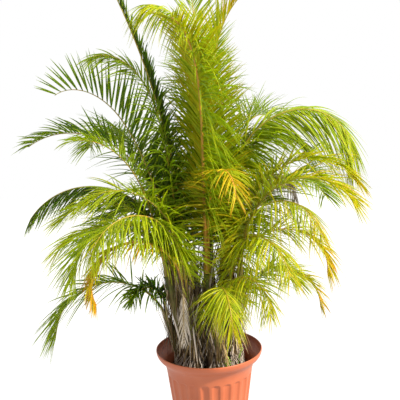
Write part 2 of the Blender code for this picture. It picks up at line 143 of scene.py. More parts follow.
class Growth:
    """A geometry tree with named sizes, and what it makes of a starting mesh."""

    def __init__(self, name: str, sizes: dict[str, float]) -> None:
        """Starts the tree.

        Args:
            name: What the tree grows.
            sizes: The starting value of each named size, whole where it is a count or a seed.
        """
        self.tree = bpy.data.node_groups.new(name, "GeometryNodeTree")
        self.add = partial(add_node, self.tree)
        for way in ("INPUT", "OUTPUT"):
            self.tree.interface.new_socket("Geometry", in_out=way, socket_type="NodeSocketGeometry")
        self.keys: dict[str, str] = {}
        for label, value in sizes.items():
            kind = "NodeSocketInt" if isinstance(value, int) else "NodeSocketFloat"
            item = self.tree.interface.new_socket(label, in_out="INPUT", socket_type=kind)
            item.default_value = value
            self.keys[label] = item.identifier
        self.source = self.tree.nodes.new("NodeGroupInput")
        self.size = {label: self.source.outputs[label] for label in sizes}

    def blade(self, segments: int, fold: float, thickness: float) -> Node:
        """Shapes a leaflet of unit length and width along X, folded at its midrib and drawn to a point.

        Args:
            segments: How many lengths it is made of.
            fold: How far the midrib stands above the edges, as a share of the width.
            thickness: Half the blade's thickness as a share of its width.

        Returns:
            The leaflet, with the share of its length kept on it as span.
        """
        add = self.add
        sides = {"Vertices": 4, "Side Segments": segments, "Radius": 1.0, "Depth": 1.0}
        rod = add("GeometryNodeMeshCylinder", sides)
        across, over, level = add(SPLIT, (add("GeometryNodeInputPosition"),)).outputs
        span = add(MATH, (level, 0.5), "ADD")
        swell = add(MATH, (span, 3.0, 0.38), "MULTIPLY_ADD")
        swell = add(MATH, (swell, 1.0), "MINIMUM")
        squared = add(MATH, (span, 2.0), "POWER")
        rest = add(MATH, (1.0, squared), "SUBTRACT")
        fade = add(MATH, (rest, 0.85), "POWER")
        wide = add(MATH, (swell, fade, 0.03), "MULTIPLY_ADD")
        off = add(MATH, (across,), "ABSOLUTE")
        inner = add(MATH, (1.0, off), "SUBTRACT")
        ridge = add(MATH, (add(MATH, (inner, wide), "MULTIPLY"), fold), "MULTIPLY")
        side = add(MATH, (add(MATH, (across, wide), "MULTIPLY"), 0.5), "MULTIPLY")
        rise = add(MATH, (over, thickness, ridge), "MULTIPLY_ADD")
        kept = add(STORE, {"Geometry": rod, "Name": "span", "Value": span})
        return add(SET_POSITION, {"Geometry": kept, "Position": add(COMBINE, (span, side, rise))})

    def hang(self, blades: Node) -> Node:
        """Lets leaflets hang: each point drops by its blade's sag times the square of its span.

        Args:
            blades: The leaflets.

        Returns:
            The hanging leaflets, made real.
        """
        add = self.add
        real = add(MAKE_REAL, {"Geometry": blades})
        span, sag = (add(READ, {"Name": name}) for name in ("span", "sag"))
        drop = add(MATH, (add(MATH, (span, span), "MULTIPLY"), sag), "MULTIPLY")
        offset = add(COMBINE, {2: add(MATH, (drop, -1.0), "MULTIPLY")})
        return add(SET_POSITION, {"Geometry": real, "Offset": offset})

    def thicken(self, line: Node, radius: Node, sides: int) -> Node:
        """Turns a line into a capped round stalk.

        Args:
            line: The line.
            radius: Its radius along the line.
            sides: How many sides it has round.

        Returns:
            The stalk, shaded smooth.
        """
        ring = self.add("GeometryNodeCurvePrimitiveCircle", {"Resolution": sides, "Radius": 1.0})
        drawn = {"Curve": line, "Profile Curve": ring, "Scale": radius, "Fill Caps": True}
        return self.add(SMOOTH, {"Geometry": self.add("GeometryNodeCurveToMesh", drawn)})

    def finish(self, parts: list[tuple[object, Material]]) -> None:
        """Dresses the parts, joins them, makes them real and sends them out.

        Args:
            parts: The geometry and the material of each part.
        """
        dressed = []
        for shape, coat in parts:
            dressed.append(self.add("GeometryNodeSetMaterial", {"Geometry": shape, "Material": coat}))
        joined = self.add("GeometryNodeJoinGeometry", ([*reversed(dressed)],))
        self.add("NodeGroupOutput", (self.add(MAKE_REAL, {"Geometry": joined}),))

    def grow(self, name: str, start: Mesh, sizes: dict[str, float]) -> bpy.types.Object:
        """Runs the tree on a mesh and keeps the result as a plain mesh.

        Args:
            name: The new piece's name.
            start: The mesh to grow from.
            sizes: Values for the tree's named sizes.

        Returns:
            The finished piece.
        """
        seedling = bpy.data.objects.new(name + "_start", start)
        bpy.context.scene.collection.objects.link(seedling)
        modifier = seedling.modifiers.new("growth", "NODES")
        modifier.node_group = self.tree
        for label, value in sizes.items():
            modifier[self.keys[label]] = value
        graph = bpy.context.evaluated_depsgraph_get()
        grown = seedling.evaluated_get(graph)
        mesh = bpy.data.meshes.new_from_object(grown, preserve_all_data_layers=True, depsgraph=graph)
        mesh.name = name
        seedling.modifiers.remove(modifier)
        bpy.data.objects.remove(seedling, do_unlink=True)
        piece = bpy.data.objects.new(name, mesh)
        bpy.context.scene.collection.objects.link(piece)
        return piece


def place(piece: bpy.types.Object, node: str) -> None:
    """Fixes a finished piece to the plant in place of its solid.

    Args:
        piece: The finished piece.
        node: The solid that it stands for.
    """
    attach(piece, "root")
    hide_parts(node)
    LOG.info("%s: %d faces for %s", piece.name, len(piece.data.polygons), node)


def join(piece: bpy.types.Object, other: bpy.types.Object) -> None:
    """Joins another piece into one, keeping both their materials and attributes.

    Args:
        piece: The piece that stays.
        other: The piece that goes into it.
    """
    both = [piece, other]
    with bpy.context.temp_override(
        active_object=piece, object=piece, selected_objects=both, selected_editable_objects=both
    ):
        bpy.ops.object.join()


def route_mesh(name: str, routes: list[np.ndarray], values: dict[str, np.ndarray]) -> Mesh:
    """Makes a mesh of open lines with numbers and ways kept on their points.

    Args:
        name: The mesh's name.
        routes: The points of each line.
        values: For each attribute, one number or one vector for each point of all the lines.

    Returns:
        The mesh.
    """
    mesh = bpy.data.meshes.new(name)
    edges, offset = [], 0
    for route in routes:
        edges += [(offset + step, offset + step + 1) for step in range(len(route) - 1)]
        offset += len(route)
    mesh.from_pydata(np.concatenate(routes).tolist(), edges, [])
    for label, data in values.items():
        data = np.asarray(data, np.float32)
        kind, key = ("FLOAT_VECTOR", "vector") if data.ndim == 2 else ("FLOAT", "value")
        mesh.attributes.new(label, kind, "POINT").data.foreach_set(key, data.ravel())
    return mesh


def level_way(turn: np.ndarray | float) -> np.ndarray:
    """The level way at a heading.

    Args:
        turn: The heading in radians, or an array of them.

    Returns:
        The unit vector, or a row of them.
    """
    return np.stack([np.cos(turn), np.sin(turn), np.zeros_like(turn)], axis=-1)


@dataclass(frozen=True)
class Finish:
    """What every finish has: its name, its roughness and its index of refraction."""

    name: str
    roughness: float
    ior: float

    def make(self) -> Material:
        """Makes the material.

        Returns:
            The material.
        """
        material = bpy.data.materials.new(self.name)
        material.use_nodes = True
        tree = material.node_tree
        surface = {"Roughness": self.roughness, "IOR": self.ior, **self.surface(partial(add_node, tree))}
        set_inputs(tree, tree.nodes["Principled BSDF"], surface)
        return material

    def surface(self, add: partial) -> dict[str, object]:
        """Says what the surface shader takes besides; each finish has its own.

        Args:
            add: Adds a node to the material.

        Returns:
            The shader's inputs, by name.
        """
        raise NotImplementedError


def set_stops(colours: Node, stops: tuple[tuple[float, str], ...]) -> Node:
    """Sets the colours that a colour ramp runs through.

    Args:
        colours: The colour ramp.
        stops: The place and the hex colour of each stop.

    Returns:
        The same colour ramp.
    """
    band = colours.color_ramp
    band.elements.remove(band.elements[0])
    for number, (position, code) in enumerate(stops):
        stop = band.elements.new(position) if number else band.elements[0]
        stop.position = position
        stop.color = linear(code)
    return colours


@dataclass(frozen=True)
class Blade(Finish):
    """Living palm leaflet, a waxy parallel-veined blade that glows where the light comes through it.

    Its colour runs from deep green through lime to gold and dry brown as the leaflet ages.
    On the fronds at the left and back, the deep green end also stands for painted shade.
    """

    stops: tuple[tuple[float, str], ...]
    patch_mm: float = 25.0

    def surface(self, add: partial) -> dict[str, object]:
        """Says what the surface takes.

        Args:
            add: Adds a node to the material.

        Returns:
            The shader's inputs, by name.
        """
        tone, span = (add(LABEL, attribute_name=name).outputs["Fac"] for name in ("tone", "span"))
        spot = add(PLACE).outputs["Object"]
        patch = add(NOISE, {"Vector": spot, "Scale": 1000.0 / self.patch_mm, "Detail": 3.0})
        drift = add(MATH, (patch, 0.24, -0.12), "MULTIPLY_ADD")
        shade = add(MATH, (tone, drift), "ADD")
        # Leaflets scorch at their tips first.
        tip = add(MATH, (span, 7.0), "POWER")
        shade = add(MATH, (tip, 0.12, shade), "MULTIPLY_ADD")
        # A blade half a millimetre thick lets yellow-green light through.
        return {
            "Base Color": set_stops(add(RAMP, (shade,)), self.stops), "Specular IOR Level": 0.2,
            "Subsurface Weight": 0.35, "Subsurface Radius": (0.6, 1.0, 0.15), "Subsurface Scale": 0.003,
        }


@dataclass(frozen=True)
class Skin(Finish):
    """A stalk, cane, root or dry sheath: a tough skin whose colour drifts along and round it.

    Its fibres are an eighth as wide as its patches, and eight times as long as they are wide.
    """

    stops: tuple[tuple[float, str], ...]
    patch_mm: float
    relief: float

    def surface(self, add: partial) -> dict[str, object]:
        """Says what the surface takes.

        Args:
            add: Adds a node to the material.

        Returns:
            The shader's inputs, by name.
        """
        tone = add(LABEL, attribute_name="tone").outputs["Fac"]
        spot = add(PLACE).outputs["Object"]
        drawn = add(VECTOR, (spot, (1.0, 1.0, 0.12)), "MULTIPLY")
        fibre = add(NOISE, {"Vector": drawn, "Scale": 8000.0 / self.patch_mm, "Detail": 4.0})
        patch = add(NOISE, {"Vector": spot, "Scale": 1000.0 / self.patch_mm, "Detail": 2.0})
        shade = add(MATH, (fibre, 0.35, tone), "MULTIPLY_ADD")
        shade = add(MATH, (shade, 0.35), "SUBTRACT")
        shade = add(MATH, (patch, 0.35, shade), "MULTIPLY_ADD")
        return {
            "Base Color": set_stops(add(RAMP, (shade,)), self.stops),
            "Normal": add(BUMP, {"Height": fibre, "Strength": self.relief, "Distance": 0.001}),
        }


@dataclass(frozen=True)
class Moulded(Finish):
    """Injection-moulded polypropylene in terracotta: matt, a little mottled, with a fine grain."""

    stops: tuple[tuple[float, str], ...]
    cloud_mm: float = 71.43
    speck_mm: float = 2.381

    def surface(self, add: partial) -> dict[str, object]:
        """Says what the surface takes.

        Args:
            add: Adds a node to the material.

        Returns:
            The shader's inputs, by name.
        """
        spot = add(PLACE).outputs["Object"]
        cloud = add(NOISE, {"Vector": spot, "Scale": 1000.0 / self.cloud_mm, "Detail": 5.0})
        speck = add(NOISE, {"Vector": spot, "Scale": 1000.0 / self.speck_mm, "Detail": 2.0})
        share = add(MATH, (cloud, 0.9, -0.22), "MULTIPLY_ADD")
        share = add(MATH, (speck, 0.35, share), "MULTIPLY_ADD")
        return {
            "Base Color": set_stops(add(RAMP, (share,)), self.stops),
            "Normal": add(BUMP, {"Height": speck, "Strength": 0.12, "Distance": 0.0004}),
        }


@dataclass(frozen=True)
class Compost(Finish):
    """Bark and peat potting mix: crumbs from dark peat to pale bark and fibre."""

    stops: tuple[tuple[float, str], ...]
    crumb_mm: float = 6.25
    grit_mm: float = 3.3333

    def surface(self, add: partial) -> dict[str, object]:
        """Says what the surface takes.

        Args:
            add: Adds a node to the material.

        Returns:
            The shader's inputs, by name.
        """
        spot = add(PLACE).outputs["Object"]
        crumb = add("ShaderNodeTexVoronoi", {"Vector": spot, "Scale": 1000.0 / self.crumb_mm})
        grit = add(NOISE, {"Vector": spot, "Scale": 1000.0 / self.grit_mm, "Detail": 5.0})
        tint = add("ShaderNodeSeparateColor", (crumb.outputs["Color"],))
        share = add(MATH, (tint, 0.6), "MULTIPLY")
        share = add(MATH, (grit, 0.45, share), "MULTIPLY_ADD")
        return {
            "Base Color": set_stops(add(RAMP, (share,)), self.stops),
            "Normal": add(BUMP, {"Height": share, "Strength": 0.8, "Distance": 0.003}),
        }


@dataclass(frozen=True)
class LightTable(Finish):
    """Opal acrylic lit from below: a plain white floor that shows only a faint shadow."""

    base: str = "5C5C5C"
    glow: float = 0.96

    def surface(self, add: partial) -> dict[str, object]:
        """Says what the surface takes.

        Args:
            add: Adds a node to the material.

        Returns:
            The shader's inputs, by name.
        """
        return {
            "Base Color": linear(self.base), "Specular IOR Level": 0.0,
            "Emission Color": linear("FFFFFF"), "Emission Strength": self.glow,
        }


class Coat(Enum):
    """The finishes of the plant, its pot and the floor."""

    LEAFLET = Blade(
        "waxy_leaflet", 0.52, 1.45,
        (
            (0.0, "283804"), (0.22, "415604"), (0.42, "657E04"), (0.60, "8B9A04"), (0.76, "AE9606"),
            (0.90, "B07208"), (1.0, "704A24"),
        ),
    )
    STALK = Skin(
        "smooth_stalk", 0.40, 1.45,
        ((0.0, "4A6410"), (0.4, "8A8420"), (0.7, "C88E30"), (1.0, "7A451C")), 40.0, 0.08,
    )
    CANE = Skin(
        "ringed_cane_bark", 0.60, 1.45,
        ((0.0, "56661A"), (0.35, "68622A"), (0.6, "56462C"), (0.8, "33261E"), (1.0, "5E5044")), 22.22, 0.35,
    )
    HUSK = Skin(
        "dry_leaf_sheath", 0.85, 1.45,
        ((0.0, "2C2014"), (0.3, "5A4526"), (0.55, "7C6738"), (0.75, "A08E6A"), (1.0, "C4B8A8")), 14.286, 0.6,
    )
    ROOT = Skin(
        "dry_aerial_root", 0.85, 1.45,
        ((0.0, "40352C"), (0.35, "7C7065"), (0.65, "ADA296"), (1.0, "D8D0C6")), 11.111, 0.5,
    )
    SOIL = Compost(
        "bark_and_peat_mix", 0.92, 1.45,
        ((0.1, "17100B"), (0.4, "2E2118"), (0.65, "4A382A"), (0.85, "75604A"), (1.0, "A09078")),
    )
    POT = Moulded("moulded_polypropylene", 0.48, 1.49, ((0.2, "A65430"), (0.8, "B2623E")))
    WEED = Blade("soft_weed_leaf", 0.55, 1.40, ((0.0, "3E6A0E"), (0.5, "6E9A1C"), (1.0, "96AA40")))
    FLOOR = LightTable("white_light_table", 1.0, 1.5)


Finishes = dict[Coat, Material]


def build_materials() -> Finishes:
    """Makes every finish once.

    Returns:
        The material of each finish.
    """
    return {coat: coat.value.make() for coat in Coat}


class Feather(Growth):
    """Grows one feather leaf along its route: a tapering stalk and two rows of leaflets."""

    def __init__(self, name: str, leaflet: Material, stalk: Material) -> None:
        """Builds the tree.

        Args:
            name: The tree's name.
            leaflet: The leaflets' material.
            stalk: The stalk's material.
        """
        super().__init__(name, {
            "Pairs": 36, "Bare share": 0.22, "Leaflet length": 0.2, "Leaflet width": 0.013, "Vee": 0.6,
            "Spread": 1.1, "Closing": 0.6, "Scatter": 1.0, "Droop": 0.25, "Sag": 0.3, "Tone": 0.4,
            "Ageing": 0.2, "Stalk tone": 0.4, "Stalk radius": 0.0052, "Seed": 1,
        })
        line = self.add(TO_CURVE, {"Mesh": self.source})
        bearing = {"Curve": line, "Start": self.size["Bare share"], "End": 0.992}
        trimmed = self.add("GeometryNodeTrimCurve", bearing)
        stations = self.add(RESAMPLE, {"Curve": trimmed, "Count": self.size["Pairs"]})
        blade = self.blade(7, 0.20, 0.022)
        rows = [self.row(stations, blade, side) for side in (1.0, -1.0)]
        leaflets = self.hang(self.add("GeometryNodeJoinGeometry", (rows,)))
        self.finish([(leaflets, leaflet), (self.stem(line), stalk)])

    def row(self, stations: Node, blade: Node, side: float) -> Node:
        """Sets a leaflet at each station of one side.

        Args:
            stations: The points the leaflets leave from.
            blade: One leaflet.
            side: 1 for the right of the leaf and -1 for its left.

        Returns:
            The row of leaflets.
        """
        add, size = self.add, self.size
        salt = add(MATH, (size["Seed"], 10.0, 3.0 * side), "MULTIPLY_ADD")
        draws = []
        ranges = ((-0.16, 0.16), (-0.4, 0.4), (-0.7, 0.7), (0.82, 1.08), (-0.10, 0.10), (0.5, 1.5))
        for number, (least, most) in enumerate(ranges):
            seed = add(MATH, (salt, float(number)), "ADD")
            draws.append(add(CHANCE, {2: least, 3: most, "Seed": seed}))
        to_side, to_top, roll, share_of_reach, tint, share_of_sag = draws
        share = add(SPLINE)
        along, right, up = (
            add(READ, {"Name": name}, data_type="FLOAT_VECTOR") for name in ("along", "right", "up")
        )

        # The leaflet opens from the stalk by its spread, less towards the tip.
        closed = add(MATH, (size["Closing"], -1.0), "MULTIPLY")
        opening = add(MATH, (share, closed, size["Spread"]), "MULTIPLY_ADD")
        opening = add(MATH, (to_side, size["Scatter"], opening), "MULTIPLY_ADD")
        vee = add(MATH, (to_top, size["Scatter"], size["Vee"]), "MULTIPLY_ADD")
        open_cos, open_sin = (add(MATH, (opening,), name) for name in ("COSINE", "SINE"))
        vee_cos, vee_sin = (add(MATH, (vee,), name) for name in ("COSINE", "SINE"))
        raised = add(VECTOR, (up, vee_sin), "MULTIPLY")
        sideways = add(MATH, (vee_cos, side), "MULTIPLY")
        out = add(VECTOR, (right, sideways, raised), "MULTIPLY_ADD")
        fall = add(COMBINE, {2: add(MATH, (size["Droop"], -1.0), "MULTIPLY")})
        way = add(VECTOR, (along, open_cos, fall), "MULTIPLY_ADD")
        way = add(VECTOR, (out, open_sin, way), "MULTIPLY_ADD")
        way = add(VECTOR, (way,), "NORMALIZE")
        leaning = add(MATH, (vee_sin, -side), "MULTIPLY")
        tilted = add(VECTOR, (right, leaning), "MULTIPLY")
        face = add(VECTOR, (up, vee_cos, tilted), "MULTIPLY_ADD")
        turned = add(TURN_TO, (way, face), primary_axis="X", secondary_axis="Z")
        twist = add("FunctionNodeAxisAngleToRotation", {"Axis": (1.0, 0.0, 0.0), "Angle": roll})
        rotation = add("FunctionNodeRotateRotation", (turned, twist), rotation_space="LOCAL")

        # Leaflets are longest below the middle of the leaf and short at its tip.
        near = add(MATH, (share, 1.6, 0.62), "MULTIPLY_ADD")
        near = add(MATH, (near, 1.0), "MINIMUM")
        cubed = add(MATH, (share, 3.0), "POWER")
        far = add(MATH, (cubed, -0.62, 1.0), "MULTIPLY_ADD")
        reach = add(MATH, (near, far), "MULTIPLY")
        for factor in (size["Leaflet length"], share_of_reach):
            reach = add(MATH, (reach, factor), "MULTIPLY")
        narrowing = add(MATH, (share, -0.35, 1.0), "MULTIPLY_ADD")
        width = add(MATH, (size["Leaflet width"], narrowing), "MULTIPLY")
        scale = add(COMBINE, (reach, width, width))

        # The frond's tone, darkened as painted shade on the fronds at the left and back, ages towards the
        # tip.
        tone = add(MATH, (cubed, size["Ageing"], size["Tone"]), "MULTIPLY_ADD")
        tone = add(MATH, (tone, tint), "ADD")
        sag = add(MATH, (size["Sag"], share_of_sag), "MULTIPLY")
        sag = add(MATH, (reach, sag), "MULTIPLY")
        kept = add(STORE, {"Geometry": stations, "Name": "tone", "Value": tone})
        kept = add(STORE, {"Geometry": kept, "Name": "sag", "Value": sag})
        return add(SET_ON_POINTS, {"Points": kept, "Instance": blade, "Rotation": rotation, "Scale": scale})

    def stem(self, line: Node) -> Node:
        """Grows the stalk and rachis, broad where they clasp the cane and fine at the tip.

        Args:
            line: The leaf's route.

        Returns:
            The stalk.
        """
        add = self.add
        share = add(SPLINE)
        taper = add(MATH, (share, 0.8), "POWER")
        taper = add(MATH, (taper, -0.78, 1.0), "MULTIPLY_ADD")
        clasp = add(MATH, (share, -10.0, 1.0), "MULTIPLY_ADD")
        clasp = add(MATH, (clasp, 0.0), "MAXIMUM")
        clasp = add(MATH, (clasp, 2.0), "POWER")
        radius = add(MATH, (clasp, 0.55, taper), "MULTIPLY_ADD")
        radius = add(MATH, (radius, self.size["Stalk radius"]), "MULTIPLY")
        stalk = self.thicken(line, radius, 8)
        return add(STORE, {"Geometry": stalk, "Name": "tone", "Value": self.size["Stalk tone"]})


class Tubes(Growth):
    """Grows round stems along lines, as thick as their points say, with ring scars where wanted."""

    def __init__(self, name: str, material: Material, sides: int) -> None:
        """Builds the tree.

        Args:
            name: The tree's name.
            material: The stems' material.
            sides: How many sides they have round.
        """
        super().__init__(name, {"Step": 0.01, "Ring spacing": 0.04, "Ring height": 0.0})
        add, height = self.add, self.size["Ring height"]
        line = add(TO_CURVE, {"Mesh": self.source})
        fine = add(RESAMPLE, {"Curve": line, "Length": self.size["Step"]}, mode="LENGTH")
        run = add(SPLINE).outputs["Length"]
        rings = add(MATH, (run, self.size["Ring spacing"]), "DIVIDE")
        part = add(MATH, (rings,), "FRACT")
        off = add(MATH, (part, 0.5), "SUBTRACT")
        off = add(MATH, (off,), "ABSOLUTE")
        scar = add(MATH, (off, -9.0, 1.0), "MULTIPLY_ADD")
        scar = add(MATH, (scar, 0.0), "MAXIMUM")
        radius = add(MATH, (scar, height, add(READ, {"Name": "girth"})), "MULTIPLY_ADD")
        marked = add(STORE, {"Geometry": fine, "Name": "scar", "Value": scar})
        tube = self.thicken(marked, radius, sides)
        # A ring scar is paler the higher it stands.
        paler = add(MATH, (height, 180.0), "MULTIPLY")
        scar, tone = (add(READ, {"Name": name}) for name in ("scar", "tone"))
        shade = add(MATH, (scar, paler, tone), "MULTIPLY_ADD")
        self.finish([(add(STORE, {"Geometry": tube, "Name": "tone", "Value": shade}), material)])


class Strips(Growth):
    """Sets a narrow blade on each point, along the way and as long as the point says."""

    def __init__(self, name: str, material: Material, segments: int, fold: float) -> None:
        """Builds the tree.

        Args:
            name: The tree's name.
            material: The strips' material.
            segments: How many lengths each strip is made of.
            fold: How far each strip's middle stands above its edges, as a share of its width.
        """
        super().__init__(name, {})
        add = self.add
        points = add("GeometryNodeMeshToPoints", {"Mesh": self.source})
        way, face = (add(READ, {"Name": name}, data_type="FLOAT_VECTOR") for name in ("way", "face"))
        turned = add(TURN_TO, (way, face), primary_axis="X", secondary_axis="Z")
        length = add(VECTOR, (way,), "LENGTH")
        width = add(READ, {"Name": "width"})
        scale = add(COMBINE, (length, width, width))
        strip = self.blade(segments, fold, 0.03)
        strips = {"Points": points, "Instance": strip, "Rotation": turned, "Scale": scale}
        self.finish([(self.hang(add(SET_ON_POINTS, strips)), material)])


class Crumbs(Growth):
    """Scatters crumbs over the top of the soil."""

    def __init__(self, name: str, material: Material) -> None:
        """Builds the tree.

        Args:
            name: The tree's name.
            material: The soil's material.
        """
        super().__init__(name, {"Crumbs per square metre": 12000.0, "Crumb radius": 0.0032, "Seed": 4})
        add = self.add
        upward = add(SPLIT, (add("GeometryNodeInputNormal"),)).outputs["Z"]
        top = add(MATH, (upward, 0.6), "GREATER_THAN")
        spots = add("GeometryNodeDistributePointsOnFaces", {
            "Mesh": self.source, "Selection": top, "Density": self.size["Crumbs per square metre"],
            "Seed": self.size["Seed"],
        })
        lump = add("GeometryNodeMeshIcoSphere", {"Radius": 1.0, "Subdivisions": 1})
        turn = add(CHANCE, {1: (6.3, 6.3, 6.3), "Seed": 5}, data_type="FLOAT_VECTOR")
        wide, flat, long = (
            add(CHANCE, {2: least, 3: most, "Seed": seed})
            for seed, (least, most) in enumerate(((0.4, 1.5), (0.35, 0.9), (0.8, 2.2)), start=6)
        )
        wide = add(MATH, (wide, self.size["Crumb radius"]), "MULTIPLY")
        flat, long = (add(MATH, (wide, factor), "MULTIPLY") for factor in (flat, long))
        scale = add(COMBINE, (long, wide, flat))
        crumbs = add(SET_ON_POINTS, {"Points": spots, "Instance": lump, "Rotation": turn, "Scale": scale})
        self.finish([(crumbs, material), (self.source, material)])


class Flutes(Growth):
    """Presses round-ended flutes into a plain wall of revolution."""

    def __init__(self, name: str, material: Material) -> None:
        """Builds the tree.

        Args:
            name: The tree's name.
            material: The pot's material.
        """
        super().__init__(name, {
            "Count": 24.0, "Depth": 0.0045, "Foot": 0.04, "Top": 0.291, "Round end": 0.009,
            "Land share": 0.34,
        })
        add, size = self.add, self.size
        spot = add("GeometryNodeInputPosition")
        x, y, z = add(SPLIT, (spot,)).outputs

        # Across a flute the wall is hollowed, and the land between two flutes stays plain.
        off = add(MATH, (y, x), "ARCTAN2")
        flute = add(MATH, (1.0, size["Land share"]), "SUBTRACT")
        steps = (
            ("DIVIDE", FULL_TURN), ("ADD", 1.0), ("MULTIPLY", size["Count"]), ("FRACT", 0.0),
            ("SUBTRACT", 0.5), ("ABSOLUTE", 0.0), ("MULTIPLY", 2.0), ("DIVIDE", flute),
        )
        for operation, value in steps:
            off = add(MATH, (off, value), operation)
        hollow = add(MATH, (1.0, add(MATH, (off, off), "MULTIPLY")), "SUBTRACT")
        hollow = add(MATH, (hollow, 0.0), "MAXIMUM")

        # Near its foot and its top the flute closes in a round end.
        low = add(MATH, (z, size["Foot"]), "SUBTRACT")
        high = add(MATH, (size["Top"], z), "SUBTRACT")
        low, high = (add(MATH, (gap, size["Round end"]), "DIVIDE") for gap in (low, high))
        near = add(MATH, (low, high), "MINIMUM")
        for operation, value in (("MINIMUM", 1.0), ("MAXIMUM", 0.0)):
            near = add(MATH, (near, value), operation)
        closed = add(MATH, (1.0, near), "SUBTRACT")
        arch = add(MATH, (hollow, add(MATH, (closed, closed), "MULTIPLY")), "SUBTRACT")
        arch = add(MATH, (arch, 0.0), "MAXIMUM")
        press = add(MATH, (arch, near), "MULTIPLY")
        press = add(MATH, (press,), "SQRT")
        depth = add(MATH, (press, size["Depth"]), "MULTIPLY")
        inward = add(VECTOR, (spot, (-1.0, -1.0, 0.0)), "MULTIPLY")
        inward = add(VECTOR, (inward,), "NORMALIZE")
        moved = add(VECTOR, (inward, depth), "MULTIPLY")
        pressed = add(SET_POSITION, {"Geometry": self.source, "Offset": moved})
        self.finish([(add(SMOOTH, {"Geometry": pressed}), material)])


@dataclass(frozen=True)
class CanePlan:
    """Where a cane leaves the soil and where its crown stands."""

    foot: tuple[float, float]
    crown: tuple[float, float, float]

    def points(self, rings: int = 7) -> np.ndarray:
        """Points up the cane.

        Args:
            rings: How many points.

        Returns:
            The points, in order.
        """
        share = np.linspace(0.0, 1.0, rings)
        foot = np.array([*self.foot, SOIL_TOP - ROOTED])
        run = np.array(self.crown) - foot
        lean = share**1.3
        return foot + np.stack([run[0] * lean, run[1] * lean, run[2] * share], axis=1)

    def radii(self, rings: int) -> np.ndarray:
        """Radii at those points.

        Args:
            rings: How many points.

        Returns:
            The radii, swollen where the leaf sheaths wrap the cane.
        """
        share = np.linspace(0.0, 1.0, rings)
        swell = np.exp(-(((share - 0.80) / 0.15) ** 2))
        return CANE_RADIUS + (SHEATH_RADIUS - CANE_RADIUS) * swell - 0.001 * share


@dataclass(frozen=True)
class FrondPlan:
    """A feather leaf's route, its leaflets and its tone: its age, and painted shade at the left and back."""

    name: str
    cane: int
    heading: float
    rise: float
    bend: float
    length: float
    seat: float
    curl: float = 1.2
    petiole: float = 0.12
    leaflet: float = 0.20
    vee: float = 35.0
    droop: float = 0.25
    spread: float = 64.0
    closing: float = 0.3
    roll: float = 0.0
    hung: float = 1.0
    pitch: float = 0.011
    scatter: float = 1.0
    tone: float = 0.45
    ageing: float = 0.10
    sag: float = 0.30
    width: float = 0.0078
    stalk: float = 0.45
    stem: float = 0.0052

    def start(self, canes: tuple[CanePlan, ...]) -> np.ndarray:
        """Where the stalk leaves its cane.

        Args:
            canes: The clump's canes.

        Returns:
            The point.
        """
        route = canes[self.cane - 1].points()
        if self.hung == 1.0:
            turn = math.radians(self.seat)
            lift = STALK_RADIUS * abs(math.cos(math.radians(self.rise))) + GAP
            return route[-1] + level_way(turn) * SEAT_RADIUS + UPWARD * lift
        turn = math.radians(self.heading)
        reach = SHEATH_RADIUS + STALK_RADIUS + GAP
        station = self.hung * (len(route) - 1)
        lower = int(station)
        spot = route[lower] + (route[lower + 1] - route[lower]) * (station - lower)
        return spot + level_way(turn) * reach

    def frames(self, canes: tuple[CanePlan, ...], steps: int = 96) -> dict[str, np.ndarray]:
        """The stalk's points, with the way along it, to its right and up from it at each.

        Args:
            canes: The clump's canes.
            steps: How many lengths it is cut into.

        Returns:
            The arrays, by name.
        """
        def ways(share: np.ndarray) -> tuple[np.ndarray, np.ndarray]:
            """The ways along and to the right at shares of the length."""
            out = level_way(np.full_like(share, np.radians(self.heading)))
            pitch = np.radians(self.rise - self.bend * share**self.curl)[:, None]
            along = out * np.cos(pitch) + UPWARD * np.sin(pitch)
            level_right = np.cross(out, UPWARD)
            roll = math.radians(self.roll)
            right = level_right * math.cos(roll) + np.cross(level_right, along) * math.sin(roll)
            return along, right

        middles, _ = ways((np.arange(steps) + 0.5) / steps)
        run = np.concatenate([np.zeros((1, 3)), np.cumsum(middles, axis=0)])
        points = self.start(canes) + run * self.length / steps
        along, right = ways(np.linspace(0.0, 1.0, steps + 1))
        return {"points": points, "along": along, "right": right, "up": np.cross(right, along)}


CANES = (
    CanePlan((-0.072, 0.040), (-0.159, 0.053, 0.760)),
    CanePlan((-0.036, 0.012), (-0.086, 0.014, 0.720)),
    CanePlan((-0.083, -0.030), (-0.150, -0.077, 0.700)),
    CanePlan((-0.045, -0.078), (-0.083, -0.139, 0.660)),
    CanePlan((-0.106, 0.006), (-0.159, 0.005, 0.500)),
    CanePlan((0.000, -0.036), (0.000, -0.047, 0.700)),
    CanePlan((0.008, 0.050), (0.016, 0.077, 0.800)),
    CanePlan((0.043, 0.022), (0.070, 0.030, 0.760)),
    CanePlan((0.078, -0.040), (0.127, -0.072, 0.680)),
    CanePlan((0.098, 0.000), (0.120, 0.004, 0.500)),
    CanePlan((0.033, -0.088), (0.034, -0.125, 0.500)),
    CanePlan((-0.030, 0.090), (-0.050, 0.143, 0.680)),
    CanePlan((0.058, 0.075), (0.104, 0.126, 0.660)),
    CanePlan((-0.044, -0.034), (-0.100, -0.048, 0.600)),
    CanePlan((0.042, -0.026), (0.078, -0.045, 0.580)),
)
